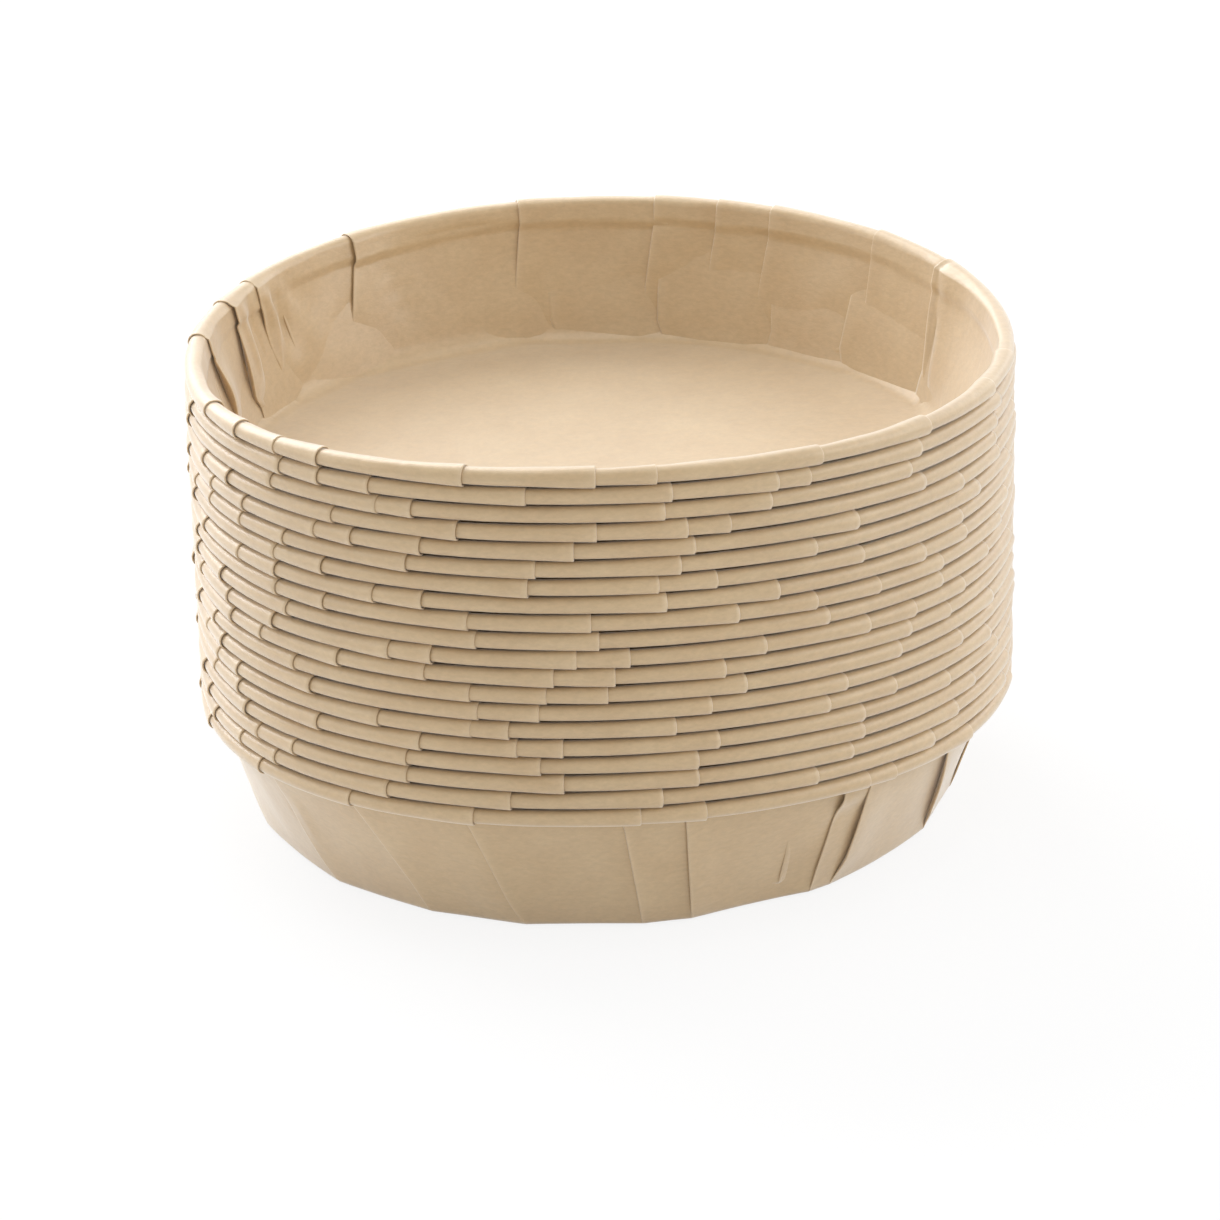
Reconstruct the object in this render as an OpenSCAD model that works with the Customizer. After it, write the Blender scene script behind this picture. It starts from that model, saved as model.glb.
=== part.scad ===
// Stack of round pleated paper tart liners, nested one inside the next.
// Each liner is one sheet: a flat round floor, a flared wall whose fullness is laid in
// pressed knife pleats, and a rim rolled outwards into an open curl.
// The stack stands on the floor of the lowest liner, centred on the Z axis.
// Angles run anticlockwise seen from above, and the front of the stack is at 270 degrees.

/* [Stack] */
// Number of liners nested in the stack
liner_count = 20; // [2:1:30]
// Height that each liner adds to the stack
nest_pitch = 2.42; // [2.4:0.01:4]

/* [Liner] */
// Diameter over the rolled rim
rim_d = 110; // [104:1:130]
// Diameter of the flat floor, up to where its edge folds up
floor_d = 92.6; // [84:0.2:94]
// Height from the underside of the floor to the top of the rim
liner_h = 18.6; // [14:0.2:30]
// Thickness of the paper sheet
sheet_t = 0.2; // [0.16:0.01:0.24]

/* [Rim and corner] */
// Height and width over the rolled rim
curl_d = 2.2; // [1.8:0.05:2.2]
// Angle through which the sheet is rolled
curl_turn = 278; // [200:1:285]
// Outer radius of the fold between floor and wall
corner_r = 1.4; // [0.8:0.1:3]

/* [Pleats] */
// Width of a lap, where the pleat lies folded on itself
lap_w = 2.4; // [1.6:0.1:5]
// Height at which a lap stands proud on each face of the wall
lap_step = 0.2; // [0.1:0.01:0.2]
// Height at which a lap stands proud round the rolled rim
rim_step = 0.09; // [0.04:0.01:0.09]
// Distance up the wall from the fold at which the laps begin
lap_foot = 0.6; // [0.4:0.1:3]
// Farthest that a liner is turned from its neighbours
clock_swing = 14; // [0:1:40]

/* [Hidden] */
// Roundness of every circle
$fn = 180;
// Angles round the rim at which the laps start, as the pleating die spaces them
PLEATS = [10, 28, 52, 64, 74, 82, 102, 130, 151, 173, 197, 209, 219, 228, 252, 271, 279, 303, 332, 350];
// Names of the liners from the lowest up
// Part that is drawn

// Radius of the curl and the place of its centre
curl_ro = curl_d / 2;
curl_x = rim_d / 2 - curl_ro;
curl_z = liner_h - curl_ro;

// Way from the centre of the fold to the centre of the curl
rise = [curl_x - floor_d / 2, curl_z - corner_r];
// How far the centre of the curl lies outside the wall's line through the fold centre
curl_off = corner_r - sheet_t + curl_ro;
// Length of the straight wall, and its lean from the vertical
wall_len = sqrt(rise * rise - curl_off * curl_off);
wall_lean = atan2(rise.x, rise.y) - atan2(curl_off, wall_len);
// Angle that a lap covers
lap_turn = lap_w / (rim_d / 2) * 180 / PI;

// Turn of liner k on the stack
function clock(k) = clock_swing * (sin(47 * k) + sin(113 * k + 20)) / 2;

// Frame of the wall: origin at the centre of the fold, Y up along the wall
module wall_frame() {
    translate([floor_d / 2, corner_r]) rotate(-wall_lean) children();
}

// Round of sheet between two radii, from one angle to another less than half a turn on
module sheet_arc(r, from, to) {
    reach = 2 * r;
    intersection() {
        difference() {
            circle(r = r);
            circle(r = r - sheet_t);
        }
        polygon([[0, 0], reach * [cos(from), sin(from)],
            reach * [cos((from + to) / 2), sin((from + to) / 2)], reach * [cos(to), sin(to)]]);
    }
}

// Section of one liner: floor, fold, wall and curl, each ending where the next begins
module liner_section() {
    half_turn = curl_turn / 2;
    square([floor_d / 2, sheet_t]);
    wall_frame() {
        sheet_arc(corner_r, wall_lean - 90, 0);
        translate([corner_r - sheet_t, 0]) square([sheet_t, wall_len]);
        translate([curl_off, wall_len]) {
            sheet_arc(curl_ro, 180, 180 - half_turn);
            sheet_arc(curl_ro, 180 - half_turn, 180 - curl_turn);
        }
    }
}

// Section of a lap: proud of the wall on both faces, and drawn in where the rim rolls it tight
module lap_section() {
    inside = corner_r - sheet_t;
    wall_frame() {
        polygon([[corner_r + lap_step, lap_foot], [corner_r + lap_step, wall_len],
            [inside - rim_step, wall_len], [inside - lap_step, wall_len - curl_ro],
            [inside - lap_step, lap_foot]]);
        translate([curl_off, wall_len]) circle(r = curl_ro + rim_step);
    }
}

// One liner on its own floor
module liner() {
    rotate_extrude() liner_section();
    for (start = PLEATS)
        rotate_extrude(angle = lap_turn, start = start) lap_section();
}

// Liner k at its place in the stack
module stacked_liner(k) {
    color("burlywood") translate([0, 0, k * nest_pitch]) rotate(clock(k)) liner();
}

for (k = [0:liner_count - 1])
    stacked_liner(k);
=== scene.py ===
import math
from collections import namedtuple
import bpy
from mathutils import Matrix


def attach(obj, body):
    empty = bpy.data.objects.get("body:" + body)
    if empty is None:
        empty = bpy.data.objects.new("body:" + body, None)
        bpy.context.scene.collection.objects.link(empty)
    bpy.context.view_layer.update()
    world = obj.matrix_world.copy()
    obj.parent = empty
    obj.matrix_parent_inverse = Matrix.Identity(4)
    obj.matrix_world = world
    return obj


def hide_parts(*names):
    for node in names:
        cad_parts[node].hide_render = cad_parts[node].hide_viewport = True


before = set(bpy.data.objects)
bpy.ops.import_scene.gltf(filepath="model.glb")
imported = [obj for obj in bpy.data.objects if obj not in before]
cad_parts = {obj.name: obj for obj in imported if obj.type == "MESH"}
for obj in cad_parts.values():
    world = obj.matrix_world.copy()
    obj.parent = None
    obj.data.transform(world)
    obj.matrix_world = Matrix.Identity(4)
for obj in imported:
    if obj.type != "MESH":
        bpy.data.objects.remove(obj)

from types import SimpleNamespace

import bpy
import numpy as np
from bpy.props import FloatProperty, FloatVectorProperty, PointerProperty
from mathutils import Matrix

bl_info = {
    "name": "Paper tart liners",
    "version": (1, 0, 0),
    "blender": (4, 5, 0),
    "location": "3D View > Sidebar > Liners",
    "description": "Folds a stack of pleated paper tart liners and sets it on a pale studio floor",
    "category": "Object",
}

MM = 0.001
TURN = 2 * math.pi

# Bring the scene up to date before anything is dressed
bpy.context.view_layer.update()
# Solids of the liners, from the lowest up
LINERS = sorted(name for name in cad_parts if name.startswith("liner_"))

# Angles in degrees, anticlockwise from above, at which the pleats of each liner lie in the
# rolled rim, from the lowest liner up. The front of the stack is at 270. Where a liner's list
# stops, the pleats go on round the back by rule, because nothing of them is seen.
PLEATS = {
    1: (198, 217, 235, 253, 275, 284, 310, 315, 333),
    2: (202, 212, 221, 241, 258, 278, 301, 323),
    3: (199, 217, 225, 244, 265, 283, 307, 329),
    4: (196, 214, 244, 262, 283, 309, 334),
    5: (203, 212, 230, 246, 259, 265, 286, 309, 327),
    6: (205, 212, 240, 253, 258, 280, 303, 315, 339),
    7: (200, 207, 229, 254, 262, 285, 306, 330),
    8: (195, 204, 226, 253, 263, 271, 290, 316, 340),
    9: (211, 219, 234, 247, 264, 272, 287, 318, 327),
    10: (210, 222, 242, 248, 267, 274, 293, 310, 319),
    11: (196, 208, 225, 254, 270, 303, 325, 338),
    12: (196, 223, 232, 253, 269, 289, 301, 312, 325),
    13: (214, 223, 240, 247, 279, 295, 321, 331),
    14: (195, 223, 232, 261, 278, 286, 309, 330),
    15: (197, 205, 215, 225, 245, 262, 281, 301, 335),
    16: (191, 206, 216, 231, 237, 247, 267, 283, 308, 330),
    17: (203, 212, 234, 252, 270, 282, 288, 321, 341),
    18: (193, 223, 241, 246, 279, 294, 318, 341),
    19: (196, 225, 232, 240, 261, 280, 295, 300, 320),
    20: (205, 215, 224, 232, 253, 270, 278, 302, 322, 340, 352,
         27, 42, 61, 70, 80, 101, 129, 152, 161, 175),
}
# Where the front half begins, the widest gap that is left without a pleat and the spacing of
# the pleats of the back, in degrees
FRONT_FROM = 190
WIDEST_GAP = 45
BACK_SPACING = 18.5

# How single pleats lie, by liner and rim angle: degrees by which the fold is off its rim joint
# at the kink and at the foot, how far the inner and the outer flap gape in mm, the share of
# the wall at which they gape most and the share over which they do
FOLDS = {
    (1, 217): (5.2, 7.5, 0.0, 0.06, 0.5, 0.5),
    (1, 235): (6.8, 8.2, 0.0, 0.04, 0.5, 0.5),
    (1, 253): (4.1, 5.7, 0.0, 0.10, 0.4, 0.5),
    (1, 275): (1.8, 2.2, 0.0, 0.00, 0.5, 0.5),
    (1, 284): (0.8, 0.9, 0.0, 0.26, 0.6, 0.6),
    (1, 310): (-3.4, -4.4, 0.0, 0.65, 0.86, 0.09),
    (1, 315): (-3.1, -5.5, 0.0, 0.60, 0.5, 0.5),
    (1, 333): (1.2, 2.4, 0.0, 0.75, 0.55, 0.5),
    (20, 27): (-1.5, -3.4, 0.55, 0.0, 0.6, 0.6),
    (20, 42): (0.0, 0.3, 0.06, 0.0, 0.5, 0.5),
    (20, 61): (2.1, 3.6, 0.14, 0.0, 0.5, 0.5),
    (20, 70): (2.1, 2.9, 0.12, 0.0, 0.7, 0.4),
    (20, 80): (2.3, 3.5, 0.18, 0.0, 0.5, 0.6),
    (20, 101): (2.5, 1.0, 0.28, 0.0, 0.55, 0.5),
    (20, 129): (4.4, 6.1, 0.38, 0.0, 0.5, 0.5),
    (20, 152): (-1.1, -1.4, 0.5, 0.0, 0.92, 0.16),
    (20, 161): (0.9, -1.9, 1.0, 0.0, 0.5, 0.45),
    (20, 175): (-3.2, -4.2, 1.3, 0.0, 0.55, 0.4),
}
# Share of the wall at which a pleat that leans is kinked
KINK_SHARE = 0.25

# Creases pressed into the sheet, by liner: points as degrees and mm of sheet above the fold,
# then how far the sheet is pushed outwards and the width of the crease, both in mm
CREASES = {
    20: (
        (((150.6, 16.6), (149.7, 15.0), (148.7, 11.9), (149.4, 8.6), (151.0, 2.6)), -0.60, 0.9),
        (((148.4, 16.2), (146.5, 10.8), (146.0, 6.5)), 0.60, 0.9),
        (((146.4, 16.4), (143.8, 11.5), (142.6, 7.0)), -0.40, 0.9),
        (((143.6, 16.4), (140.0, 12.0), (138.0, 8.0)), 0.28, 0.9),
        (((158.5, 16.4), (157.4, 11.3), (156.9, 6.6)), -0.50, 1.0),
        (((155.4, 16.4), (154.6, 11.3), (154.9, 5.6)), 0.50, 0.9),
        (((124.3, 13.9), (122.7, 9.7), (120.8, 4.9)), 0.3, 0.7),
        (((26.2, 18.6), (25.2, 12.0), (23.6, 6.0), (22.0, 0.0)), 0.85, 0.5),
        (((22.8, 14.4), (22.9, 11.0)), 0.45, 0.5),
        (((47.5, 1.5), (43.5, 2.4), (41.0, 1.2)), -0.55, 0.6),
        (((118.0, 15.8), (107.5, 16.0), (101.8, 15.6)), 0.25, 0.5),
        (((160.0, 2.5), (157.0, 1.0), (153.0, 0.6)), -0.50, 0.7),
    ),
    1: (
        (((307.2, 14.8), (307.0, 12.2), (303.7, 8.0)), -0.12, 0.9),
        (((216.5, 12.6), (217.8, 8.0)), -0.25, 0.7),
        (((273.0, 14.6), (274.6, 8.0), (275.2, 3.0)), 0.10, 0.8),
        (((219.6, 12.6), (221.4, 7.0)), 0.18, 0.7),
    ),
}

# Stretches of the folded sheet round a pleat, in the order in which the sheet runs: the panel,
# the fold at the end of its inner lap, the layer that runs back, and the fold where the next
# panel's outer lap begins
PANEL, INNER_FOLD, RUN_BACK, OUTER_FOLD = range(4)
# Place of the two folds, as a share of the lap's width off the middle of the pleat
FOLD_SPREAD = 0.52

# Rows of points along the sheet: on the floor, on each half of the fold, on the wall and in the curl
Rows = namedtuple("Rows", "floor fold wall curl")
# How far the rows of the floor and of the wall crowd towards their outer ends, as powers
FLOOR_CROWDING = 0.7
WALL_CROWDING = 1.25

# Ripples of the sheet: waves once round, and radians of wave up the wall
RIPPLES = ((3, 1.2), (5, 2.0), (8, 3.1), (13, 2.3), (21, 4.0), (34, 3.0))
# Waves of the floor across the cup, in radians a metre along x and along y
FLOOR_WAVES = (190, 160)
# How nearly the edge of the floor runs straight between two pleats, from 0, round, to 1, and
# how much of that is lost on the way up the wall
STRAIGHT_EDGE = 0.8
ROUNDED_AT_RIM = 0.93
# How far from a fold its painted highlight reaches: the paper is painted paler along each pleat,
# standing in for light catching the fold's edge
FOLD_HIGHLIGHT_REACH = 0.35 * MM
# Warp of the whole stack, by waves to the turn: shares of the rim's radius, for cosine and for
# sine, by which it is out of round and by which the rims rise and sink
OUT_OF_ROUND = {2: (-0.0018, 0.0096), 3: (0.0175, 0.0019)}
RISE_AND_SINK = {2: (-0.0190, 0.0102), 3: (0.0, 0.0043)}


def smooth_step(x):
    """Rise from 0 to 1 with level ends: three x squared less two x cubed."""
    x = np.clip(x, 0.0, 1.0)
    return x * x * (3.0 - 2.0 * x)


def hashed(*numbers):
    """Fraction between 0 and 1 that looks random and is the same on each run: the decimals of
    a large multiple of the sine of a weighted sum."""
    mixed = sum(n * weight for n, weight in zip(numbers, (12.9898, 78.233, 37.719)))
    value = math.sin(mixed) * 43758.5453
    return value - math.floor(value)


def linear(colour_hex):
    """sRGB hex value such as C9AE85 as linear red, green, blue and full alpha."""
    parts = [int(colour_hex[i:i + 2], 16) / 255 for i in (0, 2, 4)]
    return tuple(c / 12.92 if c <= 0.04045 else ((c + 0.055) / 1.055) ** 2.4 for c in parts) + (1.0,)


def all_pleats(number):
    """Pleat angles right round one liner, in radians, with the unseen side filled in by steps
    of 0.6 to 1.4 times the usual spacing."""
    seen = sorted(a + 360 if a < FRONT_FROM else a for a in PLEATS[number])
    gap = seen[0] + 360 - seen[-1]
    if gap < WIDEST_GAP:
        return np.radians(seen)
    count = max(1, round(gap / BACK_SPACING))
    steps = np.array([0.6 + 0.8 * hashed(number, i, 3.1) for i in range(count)])
    more = seen[-1] + gap * np.cumsum(steps[:-1]) / steps.sum()
    return np.radians(np.concatenate([seen, more]))


def how_pleats_lie(number, rims):
    """The six values of FOLDS for each pleat of a liner, one row for each value.

    A pleat that isn't named there leans up to 1.5 degrees at the kink and 2.5 at the foot, and
    gapes up to a quarter of a millimetre inside and a little more outside.
    """
    pleats = []
    for j, rim in enumerate(rims):
        by_rule = (3 * hashed(number, j, 1.1) - 1.5, 5 * hashed(number, j, 1.4) - 2.5,
                   0.25 * hashed(number, j, 7.9), 0.3 * hashed(number, j, 9.2) ** 2,
                   hashed(number, j, 2.2), 0.45)
        pleats.append(FOLDS.get((number, round(math.degrees(rim)) % 360), by_rule))
    return np.array(pleats).T


def sheet_profile(sizes, fold_radius, rows):
    """Middle line of the sheet in one half plane through the axis.

    It runs from the centre of the floor out to the fold, round the fold, straight up the wall
    and round the curl. The wall touches both round stretches, so its length is the root of
    the squared distance between their centres less the squared sum of their radii. Each row
    of points has its radius and height, the normal that points out of the cup, the length of
    sheet above the middle of the fold and the share of the wall. The pleats begin in the
    middle of the fold, at row start.
    """
    half = sizes.sheet / 2
    curl = sizes.curl - half
    fold = fold_radius - half
    rise = np.array([sizes.rim - sizes.curl - sizes.floor, sizes.height - sizes.curl - fold_radius])
    off = fold + curl
    wall = math.sqrt(rise @ rise - off * off)
    lean = math.atan2(rise[0], rise[1]) - math.atan2(off, wall)
    up = np.array([math.sin(lean), math.cos(lean)])
    out = np.array([math.cos(lean), -math.sin(lean)])
    middle = np.array([sizes.floor, fold_radius])
    hub = middle + off * out + wall * up

    reach = np.linspace(0, 1, rows.floor + 1)[1:-1] ** FLOOR_CROWDING * sizes.floor
    flat = np.stack([reach, np.full_like(reach, half)], 1)
    bend = np.linspace(-math.pi / 2, -lean, 2 * rows.fold + 1)
    turn = np.stack([np.cos(bend), np.sin(bend)], 1)
    climb = (1 - (1 - np.linspace(0, 1, rows.wall + 1)[1:, None]) ** WALL_CROWDING) * wall
    roll = math.pi - lean - np.linspace(0, 1, rows.curl + 1)[1:] * sizes.curl_turn
    ring = np.stack([np.cos(roll), np.sin(roll)], 1)
    points = np.concatenate([flat, middle + fold * turn, middle + fold * out + climb * up,
                             hub + curl * ring])
    normals = np.concatenate([np.tile([0.0, -1.0], (len(reach), 1)), turn,
                              np.tile(out, (rows.wall, 1)), -ring])

    start = len(reach) + rows.fold
    length = np.concatenate([[0], np.cumsum(np.linalg.norm(np.diff(points, axis=0), axis=1))])
    length -= length[start]
    return SimpleNamespace(
        radius=points[:, :1], height=points[:, 1:], normals=normals, length=length,
        share=np.clip(length / wall, 0, 1), start=start,
        in_curl=np.arange(len(points)) >= len(points) - rows.curl)


def pleated_columns(centres, panel_columns):
    """Columns of the folded sheet, once round, in the order in which the sheet runs.

    Each panel runs from its outer lap on one pleat to its inner lap on the next, and the layer
    between them runs back. A column's angle is base + spread * lap width. Level is 1 in the
    outer layer of a pleat, 0 in the one between and -1 in the inner one, and tau runs from 0
    to 1 across the panel. Own and ahead number the pleats at the panel's two ends.
    """
    count = len(centres)
    tau = (1 - np.cos(np.linspace(0, math.pi, panel_columns))) / 2
    swing = 1 - 2 * tau
    panel_level = swing * (0.5 + 0.5 * swing ** 2)
    back = np.array([0.0, 0.5, 1.0])
    columns = []
    for j in range(count):
        span = (centres[(j + 1) % count] - centres[j]) % TURN
        node = centres[j] + span
        for stretch, base, spread, level, across in (
                (PANEL, centres[j] + tau * span, tau - 0.5, panel_level, tau),
                (INNER_FOLD, node, FOLD_SPREAD, -0.5, 1.0),
                (RUN_BACK, node, 0.5 - back, 0.0, 1.0),
                (OUTER_FOLD, node, -FOLD_SPREAD, 0.5, 1.0)):
            values = (base, spread, level, across, stretch, j, span)
            columns.append(np.stack(np.broadcast_arrays(*map(np.atleast_1d, values)), 1))
    base, spread, level, tau, stretch, own, span = np.concatenate(columns).T
    own = own.astype(int)
    return SimpleNamespace(base=base, spread=spread, level=level, tau=tau, stretch=stretch,
                           span=span, own=own, ahead=(own + 1) % count)


def column_angles(sizes, profile, columns, kink, foot):
    """Angle of every point: base + spread * lap width + the lean of the pleats.

    The laps widen from nothing at the fold to their full width near the rim, faster at first.
    A pleat leans from its foot to the kink and from there to its rim joint, and a panel takes
    its lean from the pleats at its two ends.
    """
    full_lap_at = 0.9 * sizes.height
    widening = 0.6
    up = profile.share[:, None]
    rim_lap = sizes.lap / sizes.rim
    lap = rim_lap * np.clip(profile.length / full_lap_at, 0, 1) ** widening
    lean = np.where(up > KINK_SHARE, kink * (1 - up) / (1 - KINK_SHARE),
                    foot + (kink - foot) * up / KINK_SHARE)
    lean = np.radians((1 - columns.tau) * lean[:, columns.own] + columns.tau * lean[:, columns.ahead])
    return columns.base - rim_lap / 2 + columns.spread * lap[:, None] + lean


def flap_lift(sizes, number, profile, columns, gape_in, gape_out, most, reach):
    """How far the flaps stand off the wall, in mm outwards.

    A flap lifts by its gape times a bell over the wall's height, and the lift dies away as a
    bell over a few mm of the panel and towards the fold. In the rolled rim the inner laps
    stand a trace inwards.
    """
    inner_reach = 4.5 * MM
    outer_reach = 3.5 * MM
    above_fold = 4 * MM
    to_end = (1 - columns.tau) * columns.span * sizes.rim
    to_start = columns.tau * columns.span * sizes.rim
    on = [columns.stretch == kind for kind in (PANEL, INNER_FOLD, RUN_BACK, OUTER_FOLD)]
    back = np.where(on[RUN_BACK], 0.5 - columns.spread, 0.0)
    inner = np.select([on[INNER_FOLD], on[PANEL], on[RUN_BACK]],
                      [1.0, np.exp(-(to_end / inner_reach) ** 2), (1 - back) ** 2], 0.0)
    outer_own = np.where(on[PANEL], np.exp(-(to_start / outer_reach) ** 2), 0.0)
    outer_ahead = np.select([on[RUN_BACK], on[OUTER_FOLD]], [back ** 2, 1.0], 0.0)

    up = profile.share[:, None]
    spot = np.exp(-((up - most) / reach) ** 2)
    spot = spot * (smooth_step(profile.length / above_fold) * ~profile.in_curl)[:, None]
    tuck = np.array([0.02 + 0.16 * hashed(number, j, 4.4) ** 1.5 for j in range(len(most))])
    inwards = spot * gape_in + tuck * profile.in_curl[:, None]
    outwards = spot * gape_out
    lift = outwards[:, columns.own] * outer_own + outwards[:, columns.ahead] * outer_ahead
    return lift - inwards[:, columns.ahead] * inner


def ripple(number, angle, share):
    """Sum of waves round and up the wall, the same in every layer of a pleat, about 1 high:
    sin(around * angle + upward * share) * cos(upward * share), the finer waves lower."""
    total = np.zeros(angle.shape)
    for i, (around, upward) in enumerate(RIPPLES):
        phase = TURN * hashed(number, i, 1.7)
        tilt = TURN * hashed(number, i, 5.3)
        wave = np.sin(around * angle + upward * share + phase) * np.cos(upward * share + tilt)
        total += wave / (i + 1) ** 0.4
    return total


def crease_push(number, sizes, angle, length):
    """How far the creases push the sheet outwards, in mm: each by its depth times a bell of
    the distance on the sheet from its path, fading towards the two ends of each crease."""
    end_share = 0.08
    total = np.zeros(angle.shape)
    for path, depth, width in CREASES.get(number, ()):
        nearest = np.full(angle.shape, 1e3)
        fade = np.zeros(angle.shape)
        legs = len(path) - 1
        for i, (one, two) in enumerate(zip(path, path[1:])):
            side_x = math.radians(two[0] - one[0]) * sizes.rim / MM
            side_y = two[1] - one[1]
            x = ((angle - math.radians(one[0]) + math.pi) % TURN - math.pi) * sizes.rim / MM
            y = length / MM - one[1]
            along = np.clip((x * side_x + y * side_y) / (side_x ** 2 + side_y ** 2), 0, 1)
            distance = np.hypot(x - along * side_x, y - along * side_y)
            closer = distance < nearest
            nearest = np.where(closer, distance, nearest)
            place = end_share + (1 - 2 * end_share) * (i + along) / legs
            fade = np.where(closer, np.sin(math.pi * place) ** 0.6, fade)
        total += depth * fade * np.exp(-(nearest / width) ** 2)
    return total


def rim_swell(number, profile, columns, angle, count):
    """Soft roll of paper inside the cup just below the rim, from 0 to 1.

    It begins softly at an edge that changes from pleat to pleat, is as full as each panel's
    own share, and dies away over the first part of the curl.
    """
    soft_share = 0.035
    dies_over = 1.4 * MM
    up = profile.share[:, None]
    in_curl = profile.in_curl
    low = np.array([0.975 - 0.09 * hashed(number, j, 6.1) ** 1.5 for j in range(count)])
    full = np.array([0.45 + 0.55 * hashed(number, j, 3.6) for j in range(count)])
    edge = (1 - columns.tau) * low[columns.own] + columns.tau * low[(columns.own + 2) % count]
    on_wall = smooth_step((up - edge) / soft_share) * ~in_curl[:, None]
    past = np.where(in_curl, profile.length - profile.length[~in_curl].max(), 0) / dies_over
    in_rim = (1 - smooth_step(past))[:, None] * in_curl[:, None]
    uneven = 0.75 + 0.25 * np.sin(9 * angle + number) * np.sin(23 * angle)
    return full[columns.own] * np.maximum(on_wall, in_rim) * uneven


def turn_waves(angle, waves):
    """Sum of cosine and sine waves, each of a whole number to the turn."""
    return sum(cosine * np.cos(n * angle) + sine * np.sin(n * angle)
               for n, (cosine, sine) in waves.items())


def settle(points, share, rim_radius):
    """Warp that the whole stack has taken: a little out of round, less so at the floor, and
    saddle shaped towards the rim. Share is that of the wall's height."""
    at_floor = 0.3
    angle = np.arctan2(points[:, 1], points[:, 0])
    moved = points.copy()
    moved[:, :2] *= (1 + (at_floor + (1 - at_floor) * share) * turn_waves(angle, OUT_OF_ROUND))[:, None]
    moved[:, 2] += smooth_step(share) * rim_radius * turn_waves(angle, RISE_AND_SINK)
    return moved


def ring_cells(ids):
    """Quads between neighbouring rows of rings of points, facing out of the cup."""
    following = np.roll(ids, -1, axis=1)
    return np.stack([ids[:-1], following[:-1], following[1:], ids[1:]], 2).reshape(-1, 4)


def sheet_faces(floor_rows, wall_rows, columns, flat):
    """Faces of one folded sheet, and the points of its free edge.

    Point 0 is the centre of the floor. The floor's rings have the flat columns alone, and the
    wall's have all the columns. The columns of a pleat meet in one point of the floor's last
    ring, so the cells that are pinched there become triangles.
    """
    width = len(columns.own)
    across = len(flat)
    is_flat = np.isin(np.arange(width), flat)
    to_flat = np.searchsorted(flat, np.arange(width), side="right") - 1
    to_flat = np.where(is_flat, to_flat, to_flat + 1) % across
    floor_ids = 1 + np.arange(floor_rows * across).reshape(floor_rows, across)
    wall_ids = 1 + floor_ids.size + np.arange(wall_rows * width).reshape(wall_rows, width)
    joined = np.concatenate([floor_ids[-1][to_flat][None, :], wall_ids])

    quads = np.concatenate([ring_cells(floor_ids), ring_cells(joined)])
    pinched = (quads == np.roll(quads, 1, axis=1)).any(axis=1)
    slim = np.array([list(dict.fromkeys(face)) for face in quads[pinched].tolist()])
    hub = np.stack([np.zeros(across, int), np.roll(floor_ids[0], -1), floor_ids[0]], 1)
    return quads[~pinched], np.concatenate([slim, hub]), joined[-1]


def place_points(sizes, number, profile, columns, angle, off, wrinkle):
    """Grid of points, from each point's angle and how far it is off the profile, and the
    centre of the floor.

    Between two pleats the edge of the floor runs nearly straight: there the radius is times
    the cosine of half the span over the cosine of the angle off the panel's middle. The floor
    swells in low waves across the cup, and never sinks below its plane.
    """
    up = profile.share[:, None]
    out = np.clip(profile.radius / sizes.floor, 0, 1)
    straight = STRAIGHT_EDGE * (1 - ROUNDED_AT_RIM * smooth_step(up)) * out ** 3
    chord = np.cos(columns.span / 2) / np.cos((columns.tau - 0.5) * columns.span)
    radius = (profile.radius + profile.normals[:, :1] * off) * (1 - straight * (1 - chord))
    x = radius * np.cos(angle)
    y = radius * np.sin(angle)

    base_z = sizes.pitch * (number - 1)
    lowest_z = base_z + sizes.sheet / 2
    swell = wrinkle * MM * 0.9 * smooth_step(profile.radius / (0.5 * sizes.floor)) * (up == 0)
    along_x, along_y = FLOOR_WAVES
    z = base_z + profile.height + profile.normals[:, 1:] * off
    z += swell * (1 + np.sin(along_x * x + number) * np.cos(along_y * y + 2 * number))
    grid = np.stack([x, y, np.maximum(z, lowest_z)], 2)
    return grid, np.array([[0.0, 0.0, lowest_z + swell[0, 0]]])


def in_order(values, floor_rows, flat):
    """Values on the grid as the mesh's points are numbered: the floor's rows on the flat
    columns, then the wall's rows on all of them."""
    kind = values.shape[2:]
    return np.concatenate([values[:floor_rows][:, flat].reshape(-1, *kind),
                           values[floor_rows:].reshape(-1, *kind)])


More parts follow.
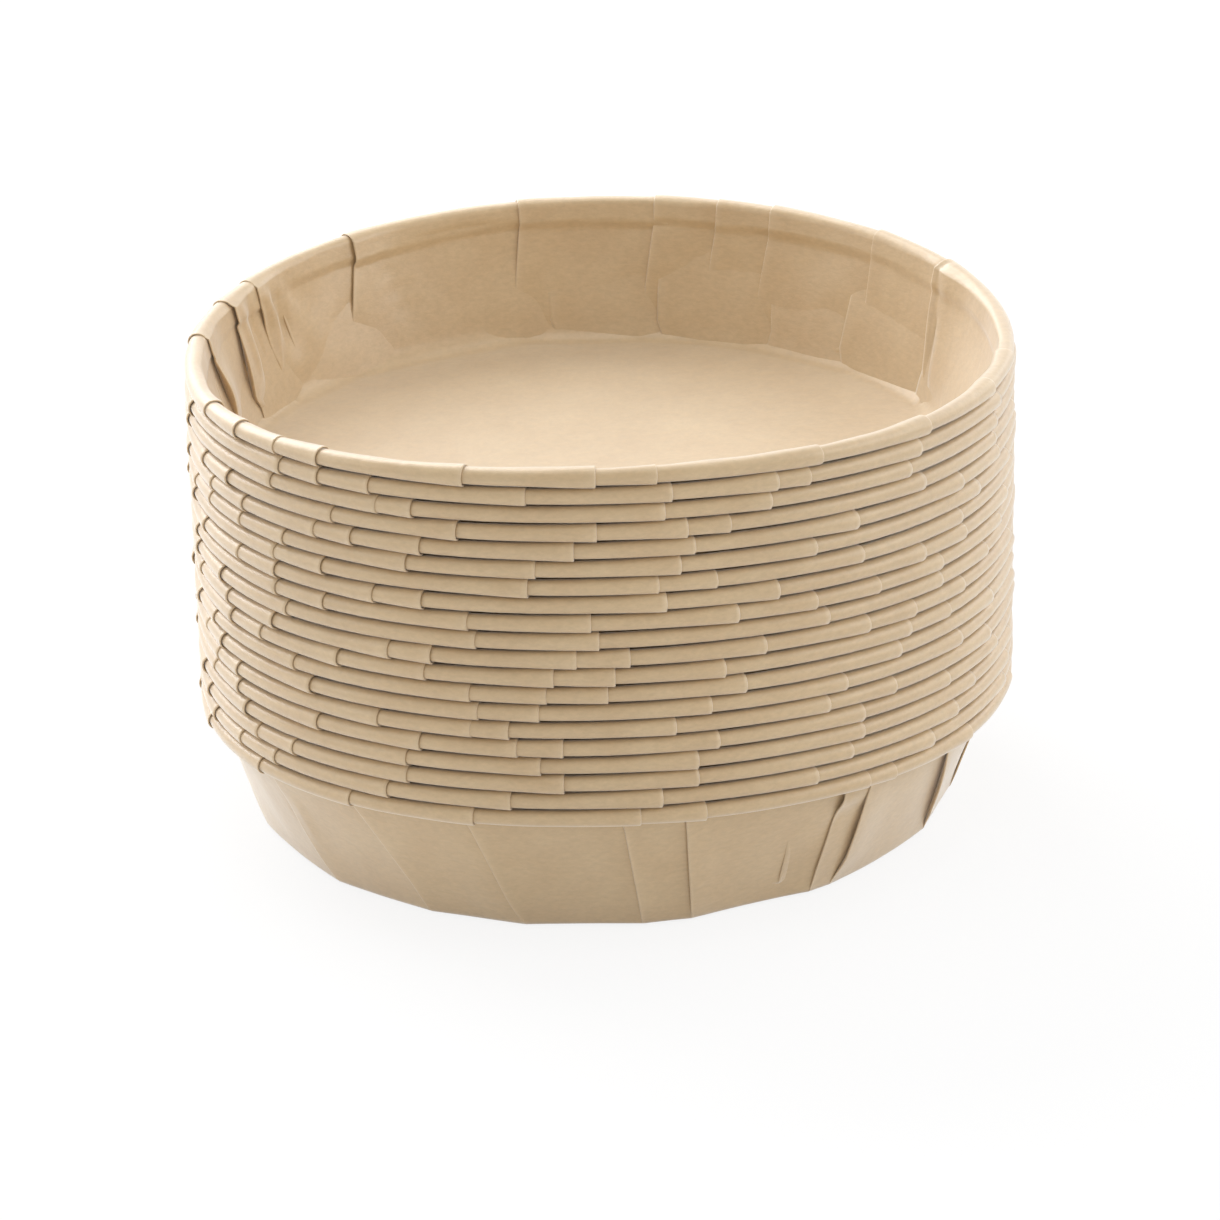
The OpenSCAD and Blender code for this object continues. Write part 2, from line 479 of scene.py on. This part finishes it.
def fold_liner(sizes, number, fold_radius, rows, panel_columns, wrinkle, neck):
    """Middle surface of one folded liner: its points, quads, triangles, free edge and the painted fold
    highlight of each point.

    The sheet is the profile carried round by the pleated columns, moved along the profile's
    normal by level * layer spacing, by the lift of the flaps, by ripples, by creases and by
    the swelling below the rim. The layers part and the ripples grow over the first few mm
    above the fold. The paper is painted paler near each fold, a painted highlight that falls off with
    the distance from it.
    """
    layers_part = 3 * MM
    ripples_grow = 8 * MM
    rims = all_pleats(number)
    kink, foot, gape_in, gape_out, most, reach = how_pleats_lie(number, rims)
    columns = pleated_columns(rims, panel_columns)
    profile = sheet_profile(sizes, fold_radius, rows)
    angle = column_angles(sizes, profile, columns, kink, foot)
    up = profile.share[:, None]
    length = profile.length

    off = sizes.gap * columns.level * smooth_step(length / layers_part)[:, None]
    off += flap_lift(sizes, number, profile, columns, gape_in, gape_out, most, reach) * MM
    rippled = smooth_step((length + layers_part) / ripples_grow)
    rippled = rippled * np.where(profile.in_curl, 0.25, 1.0)
    off += wrinkle * MM * rippled[:, None] * ripple(number, angle, up)
    off += crease_push(number, sizes, angle, length[:, None]) * MM
    if neck:
        off -= neck * MM * rim_swell(number, profile, columns, angle, len(rims))
    grid, centre = place_points(sizes, number, profile, columns, angle, off, wrinkle)

    flat = np.flatnonzero((columns.stretch == PANEL) & (columns.tau < 1))
    floor_rows = profile.start + 1
    to_pleat = np.minimum(columns.tau, 1 - columns.tau) * columns.span * sizes.rim
    on_wall = (np.arange(len(length)) >= floor_rows)[:, None]
    # Painted highlight: the paper is painted paler near each pleat, standing in for light catching the
    # fold's edge
    painted_fold_highlight = np.exp(-to_pleat / FOLD_HIGHLIGHT_REACH) * on_wall
    points = np.concatenate([centre, in_order(grid, floor_rows, flat)])
    share = in_order(np.broadcast_to(up, angle.shape), floor_rows, flat)
    fold_highlight_mask = in_order(painted_fold_highlight, floor_rows, flat)
    quads, tris, edge = sheet_faces(floor_rows, len(length) - floor_rows, columns, flat)
    points = settle(points, np.concatenate([[0.0], share]), sizes.rim)
    return points, quads, tris, edge, np.concatenate([[0.0], fold_highlight_mask])


def vertex_normals(points, quads, tris):
    """Area-weighted normals of a mesh of quads and triangles, from the cross product of each
    face's diagonals or sides."""
    normals = np.zeros_like(points)
    a, b, c, d = (points[quads[:, i]] for i in range(4))
    across = np.cross(c - a, d - b)
    for i in range(4):
        np.add.at(normals, quads[:, i], across)
    a, b, c = (points[tris[:, i]] for i in range(3))
    across = np.cross(b - a, c - a)
    for i in range(3):
        np.add.at(normals, tris[:, i], across)
    return normals / np.maximum(np.linalg.norm(normals, axis=1), 1e-12)[:, None]


def thicken(points, quads, tris, edge, thickness):
    """Sheet with both its faces: each is the middle moved by half the thickness along its
    normals, and a strip closes the free edge in the curl."""
    step = vertex_normals(points, quads, tris) * thickness / 2
    count = len(points)
    ring = np.roll(edge, -1)
    strip = np.stack([edge, ring, ring + count, edge + count], 1)
    return (np.concatenate([points + step, points - step]),
            np.concatenate([quads, quads[:, ::-1] + count, strip]),
            np.concatenate([tris, tris[:, ::-1] + count]))


def mesh_object(name, points, quads, tris, fold_highlight_mask):
    """Blender object from arrays, smooth shaded, with the painted fold highlight of each point."""
    mesh = bpy.data.meshes.new(name)
    mesh.from_pydata(points.tolist(), [], quads.tolist() + tris.tolist())
    mesh.polygons.foreach_set("use_smooth", np.ones(len(mesh.polygons), bool))
    layer = mesh.attributes.new("fold_highlight_mask", "FLOAT", "POINT")
    layer.data.foreach_set("value", fold_highlight_mask.astype(np.float32))
    mesh.update()
    if mesh.validate():
        raise RuntimeError(f"The mesh of {name} was not sound")
    piece = bpy.data.objects.new(name, mesh)
    bpy.context.scene.collection.objects.link(piece)
    return piece


def add_node(tree, kind, links=None, **settings):
    """Add a node, set its settings and its input values (in_ and the input's name or number),
    and link its inputs."""
    node = tree.nodes.new(kind)
    for key, value in settings.items():
        if key.startswith("in_"):
            slot = key[3:]
            slot = int(slot) if slot.isdigit() else slot.replace("_", " ")
            node.inputs[slot].default_value = value
        else:
            setattr(node, key, value)
    for slot, socket in (links or {}).items():
        tree.links.new(socket, node.inputs[slot])
    return node


def empty_tree(owner):
    """Node tree of a material or world, cleared."""
    owner.use_nodes = True
    owner.node_tree.nodes.clear()
    return owner.node_tree


def waves_per_metre(size_mm):
    """Scale of a noise pattern whose clouds are so many mm wide."""
    return 1 / (size_mm * MM)


# Patterns of the paper in mm: clouds where the pulp is thicker, fibres, drawn coarser than the
# real ones so that they show, and broad shifts of tone. Fibres lie flatter than they are wide.
CLOUD_MM = 7.14
FIBRE_MM = 1.111
BROAD_MM = 35.7
FIBRE_STRETCH = (1.0, 1.0, 2.2)


def greaseproof_paper(look):
    """Unbleached greaseproof baking paper, calendered: warm brown, faintly mottled by its
    fibres, with a pale satin veil at low angles, and painted paler along the folds as a highlight of
    their edges."""
    paint = bpy.data.materials.new("greaseproof_paper")
    tree = empty_tree(paint)
    place = add_node(tree, "ShaderNodeTexCoord")
    cloud = add_node(tree, "ShaderNodeTexNoise", {"Vector": place.outputs["Object"]},
                     in_Scale=waves_per_metre(CLOUD_MM), in_Detail=3.0, in_Roughness=0.6)
    fibre_place = add_node(tree, "ShaderNodeMapping", {"Vector": place.outputs["Object"]},
                           in_Scale=FIBRE_STRETCH)
    fibre = add_node(tree, "ShaderNodeTexNoise", {"Vector": fibre_place.outputs["Vector"]},
                     in_Scale=waves_per_metre(FIBRE_MM), in_Detail=2.0, in_Roughness=0.7)
    broad = add_node(tree, "ShaderNodeTexNoise", {"Vector": place.outputs["Object"]},
                     in_Scale=waves_per_metre(BROAD_MM), in_Detail=2.0)

    tone = add_node(tree, "ShaderNodeMixRGB", {"Fac": cloud.outputs["Fac"]},
                    in_Color1=(*look.dark, 1), in_Color2=(*look.pale, 1))
    fleck = add_node(tree, "ShaderNodeMapRange", {"Value": fibre.outputs["Fac"]},
                     in_1=0.3, in_2=0.7, in_3=0.93, in_4=1.05)
    drift = add_node(tree, "ShaderNodeMapRange", {"Value": broad.outputs["Fac"]},
                     in_1=0.3, in_2=0.7, in_3=0.97, in_4=1.03)
    shade = add_node(tree, "ShaderNodeMath", {0: fleck.outputs["Result"], 1: drift.outputs["Result"]},
                     operation="MULTIPLY")
    shaded = add_node(tree, "ShaderNodeVectorMath",
                      {0: tone.outputs["Color"], "Scale": shade.outputs["Value"]}, operation="SCALE")
    # Painted highlight: the colour turns paler along the pleat folds, where light catches their edges
    fold_highlight_mask = add_node(tree, "ShaderNodeAttribute", attribute_name="fold_highlight_mask")
    painted_highlight = add_node(tree, "ShaderNodeMath", {0: fold_highlight_mask.outputs["Fac"]},
                      operation="MULTIPLY", in_1=0.35)
    colour = add_node(tree, "ShaderNodeMixRGB",
                      {"Fac": painted_highlight.outputs["Value"], "Color1": shaded.outputs["Vector"]},
                      in_Color2=(*look.painted_fold_highlight, 1))

    relief = add_node(tree, "ShaderNodeMath", {0: fibre.outputs["Fac"], 2: cloud.outputs["Fac"]},
                      operation="MULTIPLY_ADD", in_1=0.25)
    bump = add_node(tree, "ShaderNodeBump", {"Height": relief.outputs["Value"]},
                    in_Strength=0.3, in_Distance=0.4 * MM)
    paper = add_node(tree, "ShaderNodeBsdfPrincipled",
                     {"Base Color": colour.outputs["Color"], "Normal": bump.outputs["Normal"]},
                     in_Roughness=0.4, in_IOR=1.5, in_Specular_IOR_Level=0.8,
                     in_Sheen_Weight=0.8, in_Sheen_Roughness=0.45)
    add_node(tree, "ShaderNodeOutputMaterial", {"Surface": paper.outputs["BSDF"]})
    return paint


class LinerSizes(bpy.types.PropertyGroup):
    """Sizes of one liner and of its place in the stack."""
    rim: FloatProperty(
        name="Rim radius", description="Radius over the rolled rim",
        default=55 * MM, unit="LENGTH")
    height: FloatProperty(
        name="Height", description="Height of one liner", default=18.6 * MM, unit="LENGTH")
    pitch: FloatProperty(
        name="Pitch", description="Height that each liner adds", default=2.42 * MM, unit="LENGTH")
    floor: FloatProperty(
        name="Floor radius", description="Radius of the flat floor",
        default=46.3 * MM, unit="LENGTH")
    fold: FloatProperty(
        name="Fold radius", description="Outer radius of the fold at the floor's edge",
        default=1.4 * MM, unit="LENGTH")
    inside_fold: FloatProperty(
        name="Inside fold radius",
        description="Radius of the fold in the uppermost liner, which nothing presses flat",
        default=3.2 * MM, unit="LENGTH")
    curl: FloatProperty(
        name="Curl radius", description="Outer radius of the rolled rim",
        default=1.08 * MM, unit="LENGTH")
    curl_turn: FloatProperty(
        name="Curl turn", description="Angle through which the rim is rolled",
        default=math.radians(285), unit="ROTATION")
    sheet: FloatProperty(
        name="Sheet", description="Thickness of the paper", default=0.1 * MM, unit="LENGTH")
    gap: FloatProperty(
        name="Layer spacing", description="Spacing of the layers in a pleat",
        default=0.12 * MM, unit="LENGTH")
    lap: FloatProperty(
        name="Lap", description="Width of a lap at the rim", default=2.2 * MM, unit="LENGTH")


class PaperLook(bpy.types.PropertyGroup):
    """Colours of the paper, and of the painted highlight along its folds."""
    dark: FloatVectorProperty(
        name="Thick pulp", description="Colour where the pulp lies thick",
        subtype="COLOR", size=3, min=0, max=1, default=linear("BA9C72")[:3])
    pale: FloatVectorProperty(
        name="Thin pulp", description="Colour where the pulp lies thin",
        subtype="COLOR", size=3, min=0, max=1, default=linear("C9B088")[:3])
    # Painted highlight: this paler colour along the pleat folds stands in for light catching their
    # edges
    painted_fold_highlight: FloatVectorProperty(
        name="Rubbed folds", description="Colour of the rubbed edges of the folds",
        subtype="COLOR", size=3, min=0, max=1, default=linear("DCC6A4")[:3])


class StageLook(bpy.types.PropertyGroup):
    """Light and floor of the studio."""
    lamps: FloatProperty(
        name="Lamps", description="Share of the lamps' full power", default=1.0, min=0)
    surround: FloatProperty(
        name="Surround", description="Strength of the white light from all round",
        default=0.62, min=0)
    floor: FloatVectorProperty(
        name="Floor", description="Colour of the studio floor",
        subtype="COLOR", size=3, min=0, max=1, default=(0.9, 0.9, 0.9))


def make_liner(number, rows, panel_columns, wrinkle=0.03, neck=0.0, fold_radius=None):
    """Fold one liner, give it its paper and let it stand for its solid. Wrinkle is the height
    of the ripples and neck that of the swelling below the rim, both in mm."""
    if number not in PLEATS or number > len(LINERS):
        raise RuntimeError(f"Liner {number} has no solid or no pleats")
    scene = bpy.context.scene
    sizes = scene.liner_sizes
    points, quads, tris, edge, fold_highlight_mask = fold_liner(
        sizes, number, fold_radius or sizes.fold, rows, panel_columns, wrinkle, neck)
    points, quads, tris = thicken(points, quads, tris, edge, sizes.sheet)
    piece = mesh_object(f"paper_liner_{number:02d}", points, quads, tris, np.tile(fold_highlight_mask, 2))
    paper = bpy.data.materials.get("greaseproof_paper") or greaseproof_paper(scene.paper_look)
    piece.data.materials.append(paper)
    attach(piece, "root")
    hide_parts(LINERS[number - 1])
    return piece


class LINERS_OT_lowest(bpy.types.Operator):
    """Fold the lowest liner, whose outside shows"""
    bl_idname = "liners.lowest"
    bl_label = "Lowest liner"

    def execute(self, context):
        make_liner(1, Rows(floor=8, fold=4, wall=22, curl=16), panel_columns=22, wrinkle=0.07)
        return {"FINISHED"}


class LINERS_OT_inner(bpy.types.Operator):
    """Fold the liners between the lowest and the uppermost, of which only the rims show"""
    bl_idname = "liners.inner"
    bl_label = "Inner liners"

    def execute(self, context):
        for number in range(2, len(LINERS)):
            make_liner(number, Rows(floor=3, fold=2, wall=5, curl=13), panel_columns=11)
        return {"FINISHED"}


class LINERS_OT_uppermost(bpy.types.Operator):
    """Fold the uppermost liner, whose inside shows"""
    bl_idname = "liners.uppermost"
    bl_label = "Uppermost liner"

    def execute(self, context):
        make_liner(len(LINERS), Rows(floor=14, fold=5, wall=28, curl=18), panel_columns=24,
                   wrinkle=0.1, neck=0.6, fold_radius=context.scene.liner_sizes.inside_fold)
        return {"FINISHED"}


# Studio lamps: name, place and size in m, power in W
LAMPS = (
    ("back_light", (-0.46, 0.72, 0.62), 0.8, 8.6),
    ("right_back_light", (0.6, 0.5, 0.4), 0.5, 1.8),
    ("left_back_light", (-0.6, 0.5, 0.4), 0.5, 1.8),
    ("right_light", (0.75, -0.1, 0.35), 0.5, 1.9),
    ("left_light", (-0.75, -0.15, 0.35), 0.5, 0.9),
    ("top_light", (0.0, 0.05, 0.9), 0.6, 1.4),
)
# Point at which the lamps aim, in m
LAMP_AIM = (0.0, 0.0, 0.04)
# Half the width of the studio floor, in m
FLOOR_REACH = 4.0
# How much of the floor's colour is plain white for the camera and for reflections. The rest
# takes the light, and with it the shadow of the stack.
FLOOR_GLOW = 0.85

# The camera of the photograph, fitted to the rims: its place in m, how far it looks down and
# leans in degrees, and its lens in mm on a picture 36 mm wide
CAMERA_PLACE = (0.001517, -0.650236, 0.297080)
CAMERA_DOWN = 22.748
CAMERA_LEAN = -1.266
CAMERA_LENS = 154.08
PICTURE_WIDTH = 36


def area_lamp(name, place, size, power):
    """Square studio lamp at a place, turned to the stack."""
    data = bpy.data.lights.new(name, "AREA")
    data.size = size
    data.energy = power
    lamp = bpy.data.objects.new(name, data)
    bpy.context.scene.collection.objects.link(lamp)
    way = np.array(LAMP_AIM) - np.array(place)
    tip = math.acos(-way[2] / np.linalg.norm(way))
    lamp.location = place
    lamp.rotation_euler = (tip, 0, math.atan2(way[1], way[0]) - math.pi / 2)
    return lamp


def studio_camera():
    """Camera of the photograph, level first, then tipped down and leant."""
    down = math.radians(CAMERA_DOWN)
    lean = math.radians(CAMERA_LEAN)
    forward = np.array([0, math.cos(down), -math.sin(down)])
    level = np.array([1.0, 0, 0])
    upright = np.cross(level, forward)
    right = level * math.cos(lean) + upright * math.sin(lean)
    up = upright * math.cos(lean) - level * math.sin(lean)
    data = bpy.data.cameras.new("camera")
    data.sensor_fit = "HORIZONTAL"
    data.sensor_width = PICTURE_WIDTH
    data.lens = CAMERA_LENS
    data.clip_end = 10
    camera = bpy.data.objects.new("camera", data)
    bpy.context.scene.collection.objects.link(camera)
    turned = np.stack([right, up, -forward, CAMERA_PLACE], 1)
    camera.matrix_world = Matrix(turned.tolist() + [[0, 0, 0, 1]])
    bpy.context.scene.camera = camera


def seen_or_mirrored(tree):
    """1 for rays from the camera and from glossy reflections, 0 for the rays that light."""
    path = add_node(tree, "ShaderNodeLightPath")
    return add_node(tree, "ShaderNodeMath",
                    {0: path.outputs["Is Camera Ray"], 1: path.outputs["Is Glossy Ray"]},
                    operation="MAXIMUM").outputs["Value"]


def studio_paper(look):
    """Matt white studio paper that the camera sees as white, with the stack's soft shadow."""
    paint = bpy.data.materials.new("studio_floor")
    tree = empty_tree(paint)
    matt = add_node(tree, "ShaderNodeBsdfDiffuse", in_Color=(*look.floor, 1))
    glow = add_node(tree, "ShaderNodeEmission", in_Color=(1, 1, 1, 1), in_Strength=1.0)
    share = add_node(tree, "ShaderNodeMath", {0: seen_or_mirrored(tree)},
                     operation="MULTIPLY", in_1=FLOOR_GLOW)
    mix = add_node(tree, "ShaderNodeMixShader",
                   {0: share.outputs["Value"], 1: matt.outputs["BSDF"], 2: glow.outputs["Emission"]})
    add_node(tree, "ShaderNodeOutputMaterial", {"Surface": mix.outputs["Shader"]})
    return paint


def white_surround(look):
    """World that lights evenly from all round and is seen as plain white."""
    world = bpy.data.worlds.new("studio")
    tree = empty_tree(world)
    lit = add_node(tree, "ShaderNodeBackground", in_Color=(1, 1, 1, 1), in_Strength=look.surround)
    white = add_node(tree, "ShaderNodeBackground", in_Color=(1, 1, 1, 1), in_Strength=1.0)
    mix = add_node(tree, "ShaderNodeMixShader",
                   {0: seen_or_mirrored(tree), 1: lit.outputs["Background"],
                    2: white.outputs["Background"]})
    add_node(tree, "ShaderNodeOutputWorld", {"Surface": mix.outputs["Shader"]})
    return world


class LINERS_OT_stage(bpy.types.Operator):
    """Set the pale floor, the soft lamps and the camera"""
    bl_idname = "liners.stage"
    bl_label = "Studio"

    def execute(self, context):
        scene = context.scene
        look = scene.stage_look
        mesh = bpy.data.meshes.new("studio_floor")
        corners = [(-1, -1), (1, -1), (1, 1), (-1, 1)]
        mesh.from_pydata([(x * FLOOR_REACH, y * FLOOR_REACH, 0) for x, y in corners],
                         [], [(0, 1, 2, 3)])
        floor = bpy.data.objects.new("studio_floor", mesh)
        scene.collection.objects.link(floor)
        mesh.materials.append(studio_paper(look))
        for name, place, size, power in LAMPS:
            area_lamp(name, place, size, power * look.lamps)
        scene.world = white_surround(look)
        studio_camera()
        scene.view_settings.view_transform = "Standard"
        return {"FINISHED"}


class LINERS_PT_panel(bpy.types.Panel):
    """Sidebar panel with the sizes, the colours and the steps"""
    bl_idname = "LINERS_PT_panel"
    bl_label = "Tart liners"
    bl_space_type = "VIEW_3D"
    bl_region_type = "UI"
    bl_category = "Liners"

    def draw(self, context):
        scene = context.scene
        for group in (scene.liner_sizes, scene.paper_look, scene.stage_look):
            for name in group.bl_rna.properties.keys():
                if name not in ("rna_type", "name"):
                    self.layout.prop(group, name)
        for step in STEPS:
            self.layout.operator(step.bl_idname)


STEPS = (LINERS_OT_lowest, LINERS_OT_inner, LINERS_OT_uppermost, LINERS_OT_stage)
GROUPS = {"liner_sizes": LinerSizes, "paper_look": PaperLook, "stage_look": StageLook}
CLASSES = tuple(GROUPS.values()) + STEPS + (LINERS_PT_panel,)


def register():
    for item in CLASSES:
        bpy.utils.register_class(item)
    for name, group in GROUPS.items():
        setattr(bpy.types.Scene, name, PointerProperty(type=group))


def unregister():
    for name in GROUPS:
        delattr(bpy.types.Scene, name)
    for item in reversed(CLASSES):
        bpy.utils.unregister_class(item)


def main():
    register()
    bpy.ops.liners.lowest()
    bpy.ops.liners.inner()
    bpy.ops.liners.uppermost()
    bpy.ops.liners.stage()


if __name__ == "__main__":
    main()
